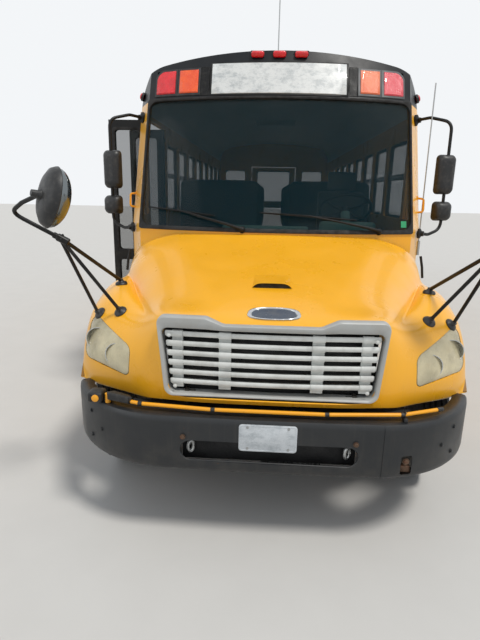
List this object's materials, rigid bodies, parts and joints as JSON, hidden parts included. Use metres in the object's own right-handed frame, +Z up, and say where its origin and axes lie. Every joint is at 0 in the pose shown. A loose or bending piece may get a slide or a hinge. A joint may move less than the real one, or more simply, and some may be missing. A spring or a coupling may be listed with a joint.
{
  "type": "school bus",
  "caption": "Conventional-nose school bus with tilting hood, folding entrance door, rear emergency door, stop arm, crossing arm and steerable front wheels",
  "frame": {"origin": "on the ground under the centre of the whole bus", "axes": "+Z up, +Y to the rear of the bus, +X to its left, the driver's side"},
  "size_m": [3.0032, 9, 3.59],
  "materials": {
    "body_yellow": "gloss paint, worn",
    "roof_white": "gloss paint",
    "black_paint": "satin paint",
    "chassis": "matt chassis paint",
    "axle_steel": "painted, dusty",
    "zinc_steel": "weathered",
    "rub_rubber": "matt",
    "floor_rubber": "ribbed",
    "tyre_rubber": "matt",
    "rim_paint": "satin paint",
    "glass": "tinted",
    "red_lens": "ribbed lens",
    "amber_lens": "ribbed lens",
    "clear_lens": "hazed lens",
    "silver_plastic": "silver paint",
    "white_panel": "reflective sheet",
    "black_plastic": "grained",
    "seat_vinyl": "grained vinyl",
    "dash_plastic": "grained",
    "stop_red": "reflective sheet"
  },
  "bodies": {
    "root": {"frame": "chassis", "axles": "axle_steel", "engine": "axle_steel", "fuel_tank": "chassis", "exhaust": "zinc_steel", "front_bumper": "black_paint", "rear_bumper": "black_paint", "floor": "floor_rubber", "stepwell": "floor_rubber", "side_left": "body_yellow", "side_right": "body_yellow", "roof": "roof_white", "rear_wall": "body_yellow", "cowl": "body_yellow", "front_cap": "black_paint", "sign_panels": "white_panel", "windshield": "glass", "side_windows": "glass", "body_trim": "rub_rubber", "dashboard": "dash_plastic", "driver_seat": "seat_vinyl", "seats_left": "seat_vinyl", "seats_right": "seat_vinyl", "seat_legs_left": "zinc_steel", "seat_legs_right": "zinc_steel", "side_mirrors": "black_plastic", "lamps_red": "red_lens", "lamps_amber": "amber_lens", "wipers": "black_plastic", "antennas": "black_plastic"},
    "steering_wheel": {"steering_wheel": "black_plastic"},
    "hood": {"hood": "body_yellow", "grille": "silver_plastic", "headlamps": "clear_lens", "crossview_mirrors": "black_plastic"},
    "door_front": {"entry_door_front": "black_paint", "entry_glass_front": "glass"},
    "door_rear": {"entry_door_rear": "black_paint", "entry_glass_rear": "glass"},
    "back_door": {"rear_door": "body_yellow", "rear_door_glass": "glass"},
    "stop_arm": {"stop_arm": "stop_red"},
    "crossing_arm": {"crossing_arm": "body_yellow"},
    "roof_hatch": {"roof_hatch": "roof_white"},
    "knuckle_left": {"knuckle_left": "axle_steel"},
    "knuckle_right": {"knuckle_right": "axle_steel"},
    "front_wheel_left": {"front_tyre_left": "tyre_rubber", "front_rim_left": "rim_paint"},
    "front_wheel_right": {"front_tyre_right": "tyre_rubber", "front_rim_right": "rim_paint"},
    "rear_wheels_left": {"rear_tyres_left": "tyre_rubber", "rear_rims_left": "rim_paint"},
    "rear_wheels_right": {"rear_tyres_right": "tyre_rubber", "rear_rims_right": "rim_paint"}
  },
  "joints": [
    {"name": "steer_left", "type": "hinge", "parent": "root", "child": "knuckle_left", "pos_m": [0.9, -3.477, 0.5], "axis": [0, 0, 1], "range_deg": [-40, 40]},
    {"name": "steer_right", "type": "hinge", "parent": "root", "child": "knuckle_right", "pos_m": [-0.9, -3.477, 0.5], "axis": [0, 0, 1], "range_deg": [-40, 40]},
    {"name": "steering_wheel_turn", "type": "hinge", "parent": "root", "child": "steering_wheel", "pos_m": [0.64, -2.267, 1.8], "axis": [0, 0.5736, 0.8191], "range_deg": [-400, 400]},
    {"name": "front_wheel_left_spin", "type": "hinge", "parent": "knuckle_left", "child": "front_wheel_left", "pos_m": [1.02, -3.477, 0.5], "axis": [1, 0, 0], "continuous": true},
    {"name": "front_wheel_right_spin", "type": "hinge", "parent": "knuckle_right", "child": "front_wheel_right", "pos_m": [-1.02, -3.477, 0.5], "axis": [1, 0, 0], "continuous": true},
    {"name": "rear_wheels_left_spin", "type": "hinge", "parent": "root", "child": "rear_wheels_left", "pos_m": [0.8875, 1.578, 0.5], "axis": [1, 0, 0], "continuous": true},
    {"name": "rear_wheels_right_spin", "type": "hinge", "parent": "root", "child": "rear_wheels_right", "pos_m": [-0.8875, 1.578, 0.5], "axis": [1, 0, 0], "continuous": true},
    {"name": "hood_tilt", "type": "hinge", "parent": "root", "child": "hood", "pos_m": [0, -4.332, 0.862], "axis": [1, 0, 0], "range_deg": [0, 60]},
    {"name": "entry_door_front_swing", "type": "hinge", "parent": "root", "child": "door_front", "pos_m": [-1.197, -2.122, 1.4], "axis": [0, 0, 1], "range_deg": [-90, 0]},
    {"name": "entry_door_rear_swing", "type": "hinge", "parent": "root", "child": "door_rear", "pos_m": [-1.197, -1.426, 1.4], "axis": [0, 0, 1], "range_deg": [0, 90]},
    {"name": "rear_door_swing", "type": "hinge", "parent": "root", "child": "back_door", "pos_m": [-0.48, 4.415, 1.7], "axis": [0, 0, 1], "range_deg": [0, 110]},
    {"name": "stop_arm_swing", "type": "hinge", "parent": "root", "child": "stop_arm", "pos_m": [1.237, -2.077, 1.25], "axis": [0, 0, 1], "range_deg": [-90, 0]},
    {"name": "crossing_arm_swing", "type": "hinge", "parent": "root", "child": "crossing_arm", "pos_m": [-0.9, -4.347, 0.812], "axis": [0, 0, 1], "range_deg": [-90, 0]},
    {"name": "roof_hatch_tilt", "type": "hinge", "parent": "root", "child": "roof_hatch", "pos_m": [0, 0.751, 3.068], "axis": [1, 0, 0], "range_deg": [0, 85]}
  ],
  "couplings": [
    {"joint": "steer_right", "follows": "steer_left", "ratio": 1},
    {"joint": "steering_wheel_turn", "follows": "steer_left", "ratio": 10},
    {"joint": "entry_door_rear_swing", "follows": "entry_door_front_swing", "ratio": -1}
  ]
}
